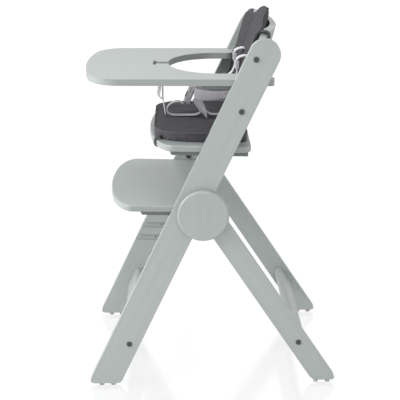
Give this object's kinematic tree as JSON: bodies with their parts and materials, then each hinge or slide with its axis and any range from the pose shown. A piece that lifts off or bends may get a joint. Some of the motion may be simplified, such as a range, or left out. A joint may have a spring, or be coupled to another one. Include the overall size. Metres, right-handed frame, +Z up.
{
  "type": "baby high chair",
  "caption": "Wooden baby high chair with slanted board legs, grooved sides, bent back shell, tray with a cut-out, footrest, padded seat and back, and a five-point harness.",
  "frame": {"origin": "centre of the bounding box at floor level, under the chair", "axes": "+Z up, the child faces -Y, X across the chair with the left and right frames at -X and +X"},
  "size_m": [0.5026, 0.5872, 0.8796],
  "materials": {
    "frame_lacquer": "satin grey lacquer on beech, faint vertical grain",
    "plate_lacquer": "satin grey lacquer on a flat plate",
    "runner": "satin grey lacquer, in shade under the plates",
    "glide": "moulded pale grey glide",
    "bolt_head": "dark grey low round head",
    "pad_cloth": "woven melange cloth in dark grey with piped seams",
    "webbing": "pale grey woven webbing",
    "buckle": "grey moulded plastic",
    "dark_plastic": "dark grey moulded plastic"
  },
  "bodies": {
    "frame": {"back_bolt_left_1": "bolt_head", "back_bolt_left_2": "bolt_head", "back_bolt_right_1": "bolt_head", "back_bolt_right_2": "bolt_head", "back_pad": "pad_cloth", "back_shell": "frame_lacquer", "buckle_body": "buckle", "crotch_loop": "webbing", "crotch_strap": "webbing", "crotch_tail": "webbing", "front_board_left": "frame_lacquer", "front_board_right": "frame_lacquer", "front_stretcher": "frame_lacquer", "glide_front_left_1": "glide", "glide_front_left_2": "glide", "glide_front_right_1": "glide", "glide_front_right_2": "glide", "glide_rear_left_1": "glide", "glide_rear_left_2": "glide", "glide_rear_right_1": "glide", "glide_rear_right_2": "glide", "joint_bolt_front_left": "bolt_head", "joint_bolt_front_right": "bolt_head", "joint_bolt_rear_left": "bolt_head", "joint_bolt_rear_right": "bolt_head", "joint_disc_left": "frame_lacquer", "joint_disc_right": "frame_lacquer", "pad_strap_left": "pad_cloth", "pad_strap_right": "pad_cloth", "rear_leg_left": "frame_lacquer", "rear_leg_right": "frame_lacquer", "rear_stretcher": "frame_lacquer", "seat_pad": "pad_cloth", "seat_plate": "plate_lacquer", "seat_runner_left": "runner", "seat_runner_right": "runner", "shoulder_strap_left": "webbing", "shoulder_strap_right": "webbing", "stretcher_bolt_front_left": "bolt_head", "stretcher_bolt_front_right": "bolt_head", "stretcher_bolt_rear_left": "bolt_head", "stretcher_bolt_rear_right": "bolt_head"},
    "tray": {"tray_board": "plate_lacquer", "tray_runner_left": "runner", "tray_runner_right": "runner", "tray_strap": "webbing", "tray_strap_bar": "dark_plastic"},
    "footrest": {"footrest_plate": "plate_lacquer", "footrest_runner_left": "runner", "footrest_runner_right": "runner"},
    "button": {"buckle_button": "dark_plastic"},
    "tongue_left": {"tongue_left": "buckle", "waist_strap_left": "webbing"},
    "tongue_right": {"tongue_right": "buckle", "waist_strap_right": "webbing"},
    "adjuster_left": {"strap_adjuster_left": "buckle"},
    "adjuster_right": {"strap_adjuster_right": "buckle"}
  },
  "joints": [
    {"name": "tray_slide", "type": "slide", "parent": "frame", "child": "tray", "axis": [0, -0.9999, 0.014], "range_m": [0, 0.045]},
    {"name": "footrest_slide", "type": "slide", "parent": "frame", "child": "footrest", "axis": [0, -0.9995, 0.0332], "range_m": [0, 0.06]},
    {"name": "button_press", "type": "slide", "parent": "frame", "child": "button", "axis": [0, 0.9225, -0.3859], "range_m": [0, 0.0015], "stiffness_N_per_m": 400},
    {"name": "tongue_left_slide", "type": "slide", "parent": "frame", "child": "tongue_left", "axis": [-1, 0, 0], "range_m": [0, 0.014]},
    {"name": "tongue_right_slide", "type": "slide", "parent": "frame", "child": "tongue_right", "axis": [1, 0, 0], "range_m": [0, 0.014]},
    {"name": "adjuster_left_slide", "type": "slide", "parent": "frame", "child": "adjuster_left", "axis": [0, 0, 1], "range_m": [-0.004, 0.004]},
    {"name": "adjuster_right_slide", "type": "slide", "parent": "frame", "child": "adjuster_right", "axis": [0, 0, 1], "range_m": [-0.004, 0.004]}
  ]
}
